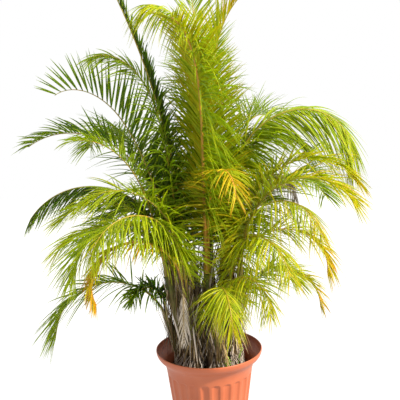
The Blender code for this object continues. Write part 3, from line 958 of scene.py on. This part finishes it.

# The lowest tones, on the fronds that lean to the left and back, are painted shade: these leaflets are
# coloured darker because the light comes from the right. The gold fronds' high tones are their own colour.
FRONDS = (
    FrondPlan(
        "01a", 1, 177, 87.6, 123, 0.84, 300, curl=1.5, leaflet=0.19, vee=60, droop=0.1, spread=56,
        pitch=0.012, tone=0.12, width=0.010,
    ),
    FrondPlan(
        "01b", 1, 182, 88, 144, 0.71, 180, curl=1.0, petiole=0.20, leaflet=0.17, vee=5, droop=0.45,
        spread=46, pitch=0.005, tone=0.05, scatter=0.5, width=0.009,
    ),
    FrondPlan(
        "01c", 1, 126, 88, 132, 0.92, 60, curl=1.3, leaflet=0.27, tone=0.25, pitch=0.007, width=0.009,
    ),
    FrondPlan(
        "02a", 2, 173, 87.5, 27, 1.30, 20, curl=1.1, petiole=0.34, leaflet=0.11, vee=80, droop=0,
        spread=26, tone=0.04, pitch=0.010,
    ),
    FrondPlan(
        "02b", 2, 180, 72.4, 106, 0.90, 150, curl=4.7, leaflet=0.27, vee=75, droop=0, spread=44,
        closing=-0.2, pitch=0.020, width=0.012, tone=0.10, sag=0.05, scatter=0.5,
    ),
    FrondPlan(
        "02c", 2, 187, 83.4, 101, 0.94, 260, curl=5.4, leaflet=0.24, vee=20, droop=0.4, spread=46,
        roll=20, tone=0.33, pitch=0.0055, width=0.0085,
    ),
    FrondPlan(
        "03a", 3, 194, 80, 98, 0.70, 120, curl=3.0, leaflet=0.17, vee=45, droop=0.3, tone=0.36,
        pitch=0.009,
    ),
    FrondPlan(
        "03b", 3, 214, 88, 176, 0.60, 260, curl=1.2, leaflet=0.22, droop=0.45, tone=0.42, pitch=0.006,
    ),
    FrondPlan(
        "04a", 4, 200, 88, 203, 0.61, 210, curl=1.2, petiole=0.2, leaflet=0.12, droop=0.6, tone=0.74,
        stalk=0.66, pitch=0.009, stem=0.0065, width=0.011, scatter=0.6,
    ),
    FrondPlan(
        "04b", 4, 194, 89, 132, 0.64, 110, curl=1.8, leaflet=0.22, droop=0.4, tone=0.48, pitch=0.0065,
    ),
    FrondPlan(
        "04c", 4, -138, 88, 160, 0.66, -60, curl=1.5, petiole=0.2, leaflet=0.17, vee=10, droop=0.5,
        tone=0.50, pitch=0.0048, width=0.0065, scatter=1.6, sag=0.5,
    ),
    FrondPlan(
        "05a", 5, 178, 77, 163, 0.64, 150, curl=0.9, leaflet=0.22, droop=0.4, tone=0.18, pitch=0.007,
    ),
    FrondPlan(
        "05b", 5, 204, 89.9, 186, 0.27, 250, curl=1.9, petiole=0.3, leaflet=0.10, droop=0.3, closing=0,
        tone=0.08, pitch=0.0028, width=0.010, scatter=2,
    ),
    FrondPlan(
        "06a", 6, -128, 89.8, 76, 1.00, -90, curl=6.5, petiole=0.14, leaflet=0.29, vee=12, droop=0,
        spread=46, closing=0.1, tone=0.60, stalk=0.62, pitch=0.0048, width=0.0078, scatter=0.35, sag=0.15,
        stem=0.0094,
    ),
    FrondPlan(
        "06b", 6, -72, 88, 170, 0.66, 0, curl=2.6, petiole=0.2, leaflet=0.15, droop=0.4, tone=0.66,
        stalk=0.66, pitch=0.009, stem=0.0065,
    ),
    FrondPlan(
        "06c", 6, 185, 90, 109, 1.10, 150, curl=7.5, petiole=0.20, leaflet=0.34, vee=15, droop=0.35,
        spread=56, closing=0.1, tone=0.47, pitch=0.005, sag=0.55, scatter=0.7, width=0.0095,
    ),
    FrondPlan(
        "07a", 7, -9, 89.2, 46, 0.96, 0, curl=5.0, petiole=0.12, leaflet=0.27, droop=0.0, spread=44,
        tone=0.50, ageing=0.30, pitch=0.006, scatter=0.6, sag=0.15,
    ),
    FrondPlan(
        "07b", 7, 107, 89, 24, 1.15, 240, curl=1.6, petiole=0.14, leaflet=0.24, spread=42, tone=0.42,
        pitch=0.007, scatter=0.5, sag=0.1,
    ),
    FrondPlan(
        "07c", 7, 94, 87, 102, 1.06, 120, curl=2.2, leaflet=0.25, tone=0.32, pitch=0.0065, width=0.009,
    ),
    FrondPlan(
        "08a", 8, -5, 88.9, 190, 1.00, 60, curl=2.1, leaflet=0.26, vee=0, droop=0.3, spread=46,
        closing=0.3, roll=-30, tone=0.48, pitch=0.0048, width=0.010, scatter=0.9, sag=0.6,
    ),
    FrondPlan(
        "08b", 8, -8, 88, 170, 0.70, -60, curl=2.7, leaflet=0.20, vee=35, droop=0.4, tone=0.30,
        pitch=0.0065,
    ),
    FrondPlan(
        "08c", 8, 62, 88, 130, 0.96, 200, curl=1.4, leaflet=0.24, vee=55, droop=0, tone=0.30, pitch=0.008,
    ),
    FrondPlan(
        "09a", 9, -6, 89.5, 152, 0.78, 60, curl=1.9, leaflet=0.23, droop=0.3, tone=0.62, pitch=0.006,
        width=0.0085,
    ),
    FrondPlan(
        "09b", 9, -19, 89, 153, 0.72, -60, curl=1.7, leaflet=0.22, droop=0.3, tone=0.62, pitch=0.006,
        width=0.0085,
    ),
    FrondPlan(
        "09c", 9, -38, 89, 170, 0.62, 180, curl=1.7, petiole=0.2, leaflet=0.17, vee=10, droop=0.5,
        tone=0.58, pitch=0.0055, width=0.0065, scatter=1.6, sag=0.5,
    ),
    FrondPlan("10a", 10, -8, 89, 181, 0.51, 0, curl=1.2, leaflet=0.14, tone=0.52, ageing=0.5, pitch=0.008),
    FrondPlan(
        "10b", 10, 40, 77, 145, 0.48, 120, curl=1.1, leaflet=0.20, droop=0.4, tone=0.52, pitch=0.006,
    ),
    FrondPlan(
        "11a", 11, -52, 89, 183, 0.50, 0, curl=1.6, petiole=0.15, leaflet=0.13, vee=10, droop=0.5,
        tone=0.58, pitch=0.005, width=0.006, scatter=1.8, sag=0.5,
    ),
    FrondPlan(
        "11b", 11, -80, 88, 172, 0.47, 220, curl=1.4, petiole=0.15, leaflet=0.13, vee=10, droop=0.5,
        tone=0.56, pitch=0.005, width=0.006, scatter=1.6, sag=0.6,
    ),
    FrondPlan(
        "12a", 12, 105, 85, 135, 0.88, 60, curl=1.2, leaflet=0.27, tone=0.24, pitch=0.006, width=0.0095,
    ),
    FrondPlan(
        "12b", 12, 172, 88, 172, 0.60, 180, curl=1.3, leaflet=0.24, tone=0.14, pitch=0.006, width=0.0095,
    ),
    FrondPlan(
        "13a", 13, 39, 83, 136, 0.80, 60, curl=1.2, leaflet=0.27, tone=0.32, pitch=0.006, width=0.0095,
    ),
    FrondPlan(
        "13b", 13, 80, 85, 127, 0.87, 180, curl=1.35, leaflet=0.27, tone=0.26, pitch=0.006, width=0.0095,
    ),
    FrondPlan(
        "14a", 14, 175, 86.6, 134, 0.71, 110, curl=1.5, leaflet=0.24, droop=0.3, tone=0.46, pitch=0.0065,
    ),
    FrondPlan(
        "14b", 14, 186, 85.7, 138, 0.65, 200, curl=1.25, leaflet=0.24, droop=0.4, tone=0.52, pitch=0.0065,
    ),
    FrondPlan(
        "15a", 15, -6, 89, 186, 0.66, 40, curl=1.45, leaflet=0.19, droop=0.4, tone=0.60, ageing=0.25,
        stalk=0.7, pitch=0.007,
    ),
    FrondPlan(
        "15b", 15, -58, 89, 166, 0.62, -80, curl=1.5, petiole=0.2, leaflet=0.16, vee=10, droop=0.5,
        tone=0.56, pitch=0.0048, width=0.0065, scatter=1.6, sag=0.5,
    ),
)

DEAD_FRONDS = (
    FrondPlan(
        "left", 4, -110, -86, 2, 0.19, 0, petiole=0.05, leaflet=0.06, vee=5, droop=0.9,
        spread=55, hung=0.985, pitch=0.011, scatter=1.2, tone=0.95, width=0.006, stalk=0.7,
    ),
    FrondPlan(
        "front", 11, -45, -66, 20, 0.13, 0, leaflet=0.026, droop=0.9, hung=0.80, pitch=0.005,
        scatter=1.5, tone=0.70, width=0.004, stalk=0.6,
    ),
    FrondPlan(
        "curled", 8, 20, 84, 225, 0.62, 0, curl=2.2, petiole=0.3, leaflet=0.08, vee=0,
        droop=0.6, hung=0.97, pitch=0.006, scatter=2.5, tone=0.80, sag=0.8, width=0.006, stalk=0.5,
    ),
)


@dataclass(frozen=True)
class Fronds:
    """The living and the dry fronds."""

    canes: tuple[CanePlan, ...] = CANES
    living: tuple[FrondPlan, ...] = FRONDS
    dry: tuple[FrondPlan, ...] = DEAD_FRONDS
    gold: tuple[str, ...] = ("04a", "06b", "15a")
    dry_seed: int = 50

    def build(self, finishes: Finishes) -> None:
        """Grows every frond.

        Args:
            finishes: The materials.
        """
        green = Feather("grow_feather_leaf", finishes[Coat.LEAFLET], finishes[Coat.STALK])
        straw = Feather("grow_dry_leaf", finishes[Coat.HUSK], finishes[Coat.HUSK])
        for number, plan in enumerate(self.living):
            piece = self.grow(green, "feather_leaf_" + plan.name, plan, number)
            place(piece, "frond_" + plan.name)
        for number, plan in enumerate(self.dry):
            piece = self.grow(straw, "dry_leaf_" + plan.name, plan, self.dry_seed + number)
            place(piece, "dead_frond_" + plan.name)

    def grow(self, tree: Feather, name: str, plan: FrondPlan, seed: int) -> bpy.types.Object:
        """Grows one frond.

        Args:
            tree: The tree that grows it.
            name: The piece's name.
            plan: The frond's plan.
            seed: What sets its leaflets apart from the other fronds'.

        Returns:
            The finished piece.
        """
        frames = plan.frames(self.canes)
        start = route_mesh(name, [frames["points"]], {key: frames[key] for key in ("along", "right", "up")})
        return tree.grow(name, start, {
            "Pairs": int((1.0 - plan.petiole) * plan.length / plan.pitch),
            "Bare share": plan.petiole,
            "Leaflet length": plan.leaflet,
            "Leaflet width": plan.width,
            "Vee": math.radians(plan.vee),
            "Spread": math.radians(plan.spread),
            "Closing": math.radians(plan.spread * plan.closing),
            "Scatter": plan.scatter,
            "Droop": plan.droop,
            "Sag": plan.sag,
            "Tone": plan.tone,
            "Ageing": plan.ageing,
            "Stalk tone": plan.stalk,
            "Stalk radius": plan.stem,
            "Seed": seed,
        })


@dataclass(frozen=True)
class Canes:
    """The ringed canes with the dry sheaths and fibres that still cling to them."""

    canes: tuple[CanePlan, ...] = CANES
    ring_spacing: float = 0.034
    ring_height: float = 0.0012
    rings: int = 40
    husks: int = 165
    husk_start: float = 0.30
    husk_span: float = 0.64
    hanging_share: float = 0.35
    hanging_length: tuple[float, float] = (0.05, 0.16)
    standing_length: tuple[float, float] = (0.06, 0.20)
    splay: tuple[float, float] = (1.0, 24.0)
    clear_of_soil: float = 0.072

    def build(self, finishes: Finishes) -> None:
        """Grows the canes and joins each with its husks.

        Args:
            finishes: The materials.
        """
        stems = Tubes("grow_ringed_cane", finishes[Coat.CANE], 16)
        shreds = Strips("hang_dry_sheaths", finishes[Coat.HUSK], 6, 0.22)
        for number, plan in enumerate(self.canes, start=1):
            name = f"ringed_cane_{number:02d}"
            values = {"girth": plan.radii(self.rings), "tone": np.linspace(0.85, 0.05, self.rings)}
            sizes = {"Step": 0.003, "Ring spacing": self.ring_spacing, "Ring height": self.ring_height}
            cane = stems.grow(name, route_mesh(name, [plan.points(self.rings)], values), sizes)
            join(cane, shreds.grow(name + "_husks", self.husk_points(plan, number), {}))
            place(cane, f"cane_{number:02d}")

    def husk_points(self, plan: CanePlan, seed: int) -> Mesh:
        """Where the strips of dry sheath leave a cane, and which way each points.

        Args:
            plan: The cane.
            seed: The fixed seed.

        Returns:
            A mesh of points with each strip's way, face, width, sag and tone.
        """
        chance = np.random.default_rng(900 + seed)
        count = self.husks
        route, radii = plan.points(200), plan.radii(200)
        share = self.husk_start + self.husk_span * chance.random(count)
        index = (share * 199).astype(int)
        out = level_way(chance.random(count) * FULL_TURN)
        splay = np.radians(chance.uniform(*self.splay, count))
        hanging = chance.random(count) < self.hanging_share
        lengths = (chance.uniform(*span, count) for span in (self.hanging_length, self.standing_length))
        length = np.where(hanging, *lengths)
        rise = UPWARD * (np.cos(splay) * np.where(hanging, -1.0, 1.0))[:, None]
        spots = route[index] + out * (radii[index] + 0.0008)[:, None]
        # A hanging strip stops short of the soil.
        room = (spots[:, 2] - SOIL_TOP - self.clear_of_soil) / np.cos(splay)
        length = np.where(hanging, np.minimum(length, np.maximum(room, 0.01)), length)
        way = (rise + out * np.sin(splay)[:, None]) * length[:, None]
        return route_mesh("husk_points", [spots], {
            "way": way, "face": out, "width": 0.0015 + 0.010 * chance.random(count) ** 3,
            "sag": chance.uniform(0.0, 0.012, count), "tone": 1.15 * chance.random(count) ** 1.8,
        })


@dataclass(frozen=True)
class Roots:
    """Aerial roots that run down from the canes' feet and out over the soil."""

    canes: tuple[CanePlan, ...] = CANES
    per_cane: int = 17
    reach: float = 0.138
    steps: int = 14
    girth: tuple[float, float] = (0.0011, 0.0023)
    height: tuple[float, float] = (0.02, 0.125)

    def build(self, finishes: Finishes) -> None:
        """Grows the roots.

        Args:
            finishes: The materials.
        """
        tubes = Tubes("grow_aerial_roots", finishes[Coat.ROOT], 6)
        chance = np.random.default_rng(71)
        routes, girths, tones = [], [], []
        for plan in self.canes:
            for _ in range(self.per_cane):
                routes.append(self.route(plan, chance))
                girths.append(np.linspace(1.0, 0.5, self.steps) * chance.uniform(*self.girth))
                tones.append(np.linspace(chance.uniform(0.1, 0.7), chance.uniform(0.5, 1.2), self.steps))
        values = {"girth": np.concatenate(girths), "tone": np.concatenate(tones)}
        piece = tubes.grow("aerial_roots", route_mesh("root_routes", routes, values), {"Step": 0.006})
        place(piece, "root_mat")

    def route(self, plan: CanePlan, chance: np.random.Generator) -> np.ndarray:
        """The route of one root.

        Args:
            plan: The cane it leaves.
            chance: The seeded source of its turns.

        Returns:
            Its points.
        """
        foot = np.array([*plan.foot, SOIL_TOP])
        out = level_way(chance.uniform(0.0, FULL_TURN))
        home = np.array([*plan.foot, 0.0])
        # Roots of the outer canes spread away from the middle of the clump.
        if np.linalg.norm(home) > 0.05:
            out = home / np.linalg.norm(home) + out * 0.8
            out /= np.linalg.norm(out)
        height = chance.uniform(*self.height)
        length = 0.02 + height * chance.uniform(0.3, 1.0)
        share = np.linspace(0.0, chance.uniform(0.5, 1.0), self.steps)
        side = np.array([-out[1], out[0], 0.0])
        sway = np.cumsum(chance.normal(0.0, 0.0012, self.steps)) + chance.normal(0.0, 0.022) * share**2
        points = foot + out * (CANE_RADIUS - 0.002 + length * share[:, None]) + side * sway[:, None]
        knots = np.abs(chance.normal(0.0, 0.0010, self.steps))
        points[:, 2] = SOIL_TOP + 0.0015 + height * (1.0 - share) ** 1.4 + knots
        far = np.linalg.norm(points[:, :2], axis=1)
        points[:, :2] *= np.minimum(1.0, self.reach / np.maximum(far, 1e-6))[:, None]
        return points


def lathe_mesh(name: str, rows: list[tuple[float, float]], segments: int) -> Mesh:
    """Turns a closed profile into a mesh.

    Args:
        name: The mesh's name.
        rows: The height and radius of each ring, from one end of the body round to the other.
        segments: How many steps it takes round.

    Returns:
        The mesh, its faces outward.
    """
    mesh = bpy.data.meshes.new(name)
    work = bmesh.new()
    rings = []
    for height, radius in rows:
        ring = []
        for step in range(segments):
            turn = FULL_TURN * step / segments
            ring.append(work.verts.new(level_way(turn) * radius + UPWARD * height))
        rings.append(ring)
    for lower, upper in zip(rings, rings[1:]):
        for step in range(segments):
            after = (step + 1) % segments
            work.faces.new((lower[step], lower[after], upper[after], upper[step]))
    for ring, level in ((rings[0], rows[0][0]), (rings[-1], rows[-1][0])):
        middle = work.verts.new((0.0, 0.0, level))
        for step in range(segments):
            work.faces.new((middle, ring[(step + 1) % segments], ring[step]))
    bmesh.ops.recalc_face_normals(work, faces=work.faces)
    work.to_mesh(mesh)
    work.free()
    return mesh


@dataclass(frozen=True)
class Pot:
    """The moulded planter: a flared, rolled lip over a wall pressed into round-ended flutes."""

    height: float = 0.380
    base_radius: float = 0.132
    neck_radius: float = 0.168
    neck_height: float = 0.277
    rim_radius: float = 0.210
    wall: float = 0.004
    floor: float = 0.006
    flutes: int = 24
    flute_depth: float = 0.0060
    flute_foot: float = 0.040
    flute_top: float = 0.291
    segments: int = 384
    flare: tuple[tuple[float, float], ...] = (
        (0.293, 0.1696), (0.305, 0.1715), (0.317, 0.1746), (0.328, 0.1790), (0.339, 0.1872),
        (0.350, 0.1990), (0.359, 0.2055), (0.366, 0.2083), (0.372, 0.2096),
    )

    def radius(self, level: float) -> float:
        """The wall's plain outer radius.

        Args:
            level: The height above the base.

        Returns:
            The radius there.
        """
        profile = (
            (0.0, self.base_radius), (self.neck_height, self.neck_radius), *self.flare,
            (0.376, self.rim_radius), (self.height, self.rim_radius - 0.0012),
        )
        return float(np.interp(level, *np.transpose(profile)))

    def rows(self) -> list[tuple[float, float]]:
        """The profile from the middle of the underside, over the lip and down to the inner floor.

        Returns:
            The height and radius of each ring.
        """
        bands = (
            (0.006, 0.034, 5), (self.flute_foot, 0.060, 9), (0.075, 0.270, 14), (0.274, 0.293, 12),
            (0.298, 0.376, 28),
        )
        levels = [level for band in bands for level in np.linspace(*band)]
        base, lip = self.base_radius, self.rim_radius
        outside = [(0.0, 0.05), (0.0, base - 0.003), (0.0012, base - 0.0006), (0.004, base)]
        outside += [(level, self.radius(level)) for level in levels]
        outside += [(0.3785, lip - 0.0003), (0.3796, lip - 0.0012)]
        outside += [(self.height, lip - 0.0022), (0.3796, lip - 0.0036)]
        inside = [(level, self.radius(level) - self.wall) for level in reversed(levels) if level > 0.012]
        return outside + inside + [(self.floor, self.radius(0.008) - self.wall), (self.floor, 0.05)]

    def build(self, finishes: Finishes) -> None:
        """Builds the pot and presses its flutes.

        Args:
            finishes: The materials.
        """
        press = Flutes("press_flutes", finishes[Coat.POT])
        plain = lathe_mesh("fluted_pot", self.rows(), self.segments)
        pot = press.grow("fluted_pot", plain, {
            "Count": float(self.flutes), "Depth": self.flute_depth,
            "Foot": self.flute_foot, "Top": self.flute_top,
        })
        place(pot, "pot")


@dataclass(frozen=True)
class Soil:
    """Potting mix, heaped a little in the middle and crumbly on top."""

    edge_radius: float = 0.1605
    top: float = SOIL_TOP
    bottom: float = 0.0065

    def build(self, finishes: Finishes) -> None:
        """Builds the soil and scatters its crumbs.

        Args:
            finishes: The materials.
        """
        edge = self.edge_radius
        rows = [(self.bottom, 0.05), (self.bottom, 0.1235), (0.15, 0.142)]
        rows += [(self.top - 0.007, edge - 0.0012), (self.top - 0.0045, edge)]
        dome = np.linspace(0.157, 0.01, 26)
        rows += [(self.top - 0.005 * (radius / 0.16) ** 4, radius) for radius in dome]
        mesh = lathe_mesh("potting_mix", rows, 96)
        chance = np.random.default_rng(17)
        for corner in mesh.vertices:
            if corner.co.z > self.top - 0.006:
                corner.co.z += float(chance.normal(0.0, 0.0007))
        scatter = Crumbs("scatter_crumbs", finishes[Coat.SOIL])
        place(scatter.grow("potting_mix", mesh, {}), "soil")


@dataclass(frozen=True)
class WeedPlan:
    """A small weed: its stem leans to the right and its leaves are set round it from some way up."""

    name: str
    node: str
    foot: tuple[float, float]
    height: float
    lean: float
    first_leaf: float
    leaf_length: float
    leaf_width: float
    leaves: int


@dataclass(frozen=True)
class Weeds:
    """Two small weeds in the soil: one leafy and one gone to seed."""

    plans: tuple[WeedPlan, ...] = (
        WeedPlan("leafy_weed", "weed_leafy", (0.066, -0.131), 0.080, 0.004, 0.45, 0.021, 0.010, 20),
        WeedPlan("seeding_weed", "weed_seedhead", (0.106, -0.101), 0.112, 0.020, 0.62, 0.011, 0.004, 26),
    )
    leaf_turn: float = 2.4

    def build(self, finishes: Finishes) -> None:
        """Builds the weeds.

        Args:
            finishes: The materials.
        """
        stems = Tubes("grow_weed_stem", finishes[Coat.WEED], 6)
        leaves = Strips("set_weed_leaves", finishes[Coat.WEED], 6, 0.15)
        for plan in self.plans:
            share = np.linspace(0.0, 1.0, 16)[:, None]
            foot = np.array([*plan.foot, SOIL_TOP + 0.0005])
            points = foot + np.hstack([plan.lean * share**2, 0.0 * share, plan.height * share])
            values = {"girth": np.linspace(0.0012, 0.0006, 16), "tone": np.full(16, 0.4)}
            stem = stems.grow(plan.name, route_mesh(plan.name, [points], values), {"Step": 0.005})
            join(stem, leaves.grow(plan.name + "_leaves", self.leaf_points(plan, points), {}))
            place(stem, plan.node)

    def leaf_points(self, plan: WeedPlan, points: np.ndarray) -> Mesh:
        """Where a weed's leaves leave its stem, and which way each points.

        Args:
            plan: The weed.
            points: The points up its stem.

        Returns:
            A mesh of points with each leaf's way, face, width, sag and tone.
        """
        count, length = plan.leaves, plan.leaf_length
        chance = np.random.default_rng(len(plan.name))
        spots = plan.first_leaf + (1.0 - plan.first_leaf) * np.linspace(0.0, 1.0, count)
        out = level_way(np.arange(count) * self.leaf_turn)
        way = (out * 0.85 + UPWARD * 0.55) * (length * chance.uniform(0.7, 1.0, count))[:, None]
        share = np.linspace(0.0, 1.0, len(points))
        bases = np.stack([np.interp(spots, share, axis) for axis in points.T], axis=1)
        return route_mesh(plan.name + "_leaves", [bases], {
            "way": way, "face": UPWARD - out * 0.4, "width": np.full(count, plan.leaf_width),
            "sag": np.full(count, length * 0.25), "tone": chance.uniform(0.2, 0.8, count),
        })


@dataclass(frozen=True)
class Studio:
    """A plain white room, soft light from the right and a camera at standing eye height."""

    eye: tuple[float, float, float] = (-0.0176, -2.6, 1.4264)
    pitch: float = -9.864
    roll: float = 1.77
    lens: float = 61.97
    room: float = 6.0
    sun_strength: float = 7.4
    sun_angle: float = 5.0
    sun_heading: float = -26.0
    sun_height: float = 40.0

    def build(self, finishes: Finishes) -> None:
        """Sets the floor, the light and the camera.

        Args:
            finishes: The materials.
        """
        self.build_floor(finishes[Coat.FLOOR])
        self.build_light()
        self.build_camera()

    def build_floor(self, coat: Material) -> None:
        """Lays the floor, a thin closed slab under the pot.

        Args:
            coat: The floor's material.
        """
        mesh = bpy.data.meshes.new("studio_floor")
        work = bmesh.new()
        bmesh.ops.create_cube(work, size=1.0)
        slab = Matrix.Diagonal((2.0 * self.room, 2.0 * self.room, 0.02, 1.0))
        work.transform(Matrix.Translation((0.0, 0.0, -0.0105)) @ slab)
        work.to_mesh(mesh)
        work.free()
        mesh.materials.append(coat)
        floor = bpy.data.objects.new("studio_floor", mesh)
        bpy.context.scene.collection.objects.link(floor)

    def build_light(self) -> None:
        """Hangs a soft key light to the right and fills the room with white light."""
        scene = bpy.context.scene
        scene.view_settings.view_transform = "Standard"
        scene.view_settings.look = "None"
        world = bpy.data.worlds.new("white_room")
        world.use_nodes = True
        background = world.node_tree.nodes["Background"]
        set_inputs(world.node_tree, background, {"Color": linear("FFFFFF"), "Strength": 1.0})
        scene.world = world
        lamp = bpy.data.lights.new("key_light", "SUN")
        lamp.energy = self.sun_strength
        lamp.angle = math.radians(self.sun_angle)
        lamp.color = linear("FFF4E2")[:3]
        light = bpy.data.objects.new("key_light", lamp)
        turn, lift = math.radians(self.sun_heading), math.radians(self.sun_height)
        toward = Vector((math.cos(lift) * math.cos(turn), math.cos(lift) * math.sin(turn), math.sin(lift)))
        light.rotation_euler = toward.to_track_quat("Z", "Y").to_euler()
        scene.collection.objects.link(light)

    def build_camera(self) -> None:
        """Stands the camera in front of the palm."""
        camera = bpy.data.objects.new("camera", bpy.data.cameras.new("camera"))
        camera.data.lens = self.lens
        camera.data.sensor_width = 36.0
        camera.data.dof.use_dof = False
        tilt = Matrix.Rotation(math.radians(90.0 + self.pitch), 4, "X")
        roll = Matrix.Rotation(math.radians(-self.roll), 4, "Z")
        camera.matrix_world = Matrix.Translation(self.eye) @ tilt @ roll
        bpy.context.scene.collection.objects.link(camera)
        bpy.context.scene.camera = camera


def main() -> None:
    """Builds the palm, its pot and the studio in order."""
    logging.basicConfig(level=logging.INFO, format="%(message)s")
    finishes = build_materials()
    for maker in (Studio(), Pot(), Soil(), Roots(), Canes(), Fronds(), Weeds()):
        maker.build(finishes)


if __name__ == "__main__":
    main()
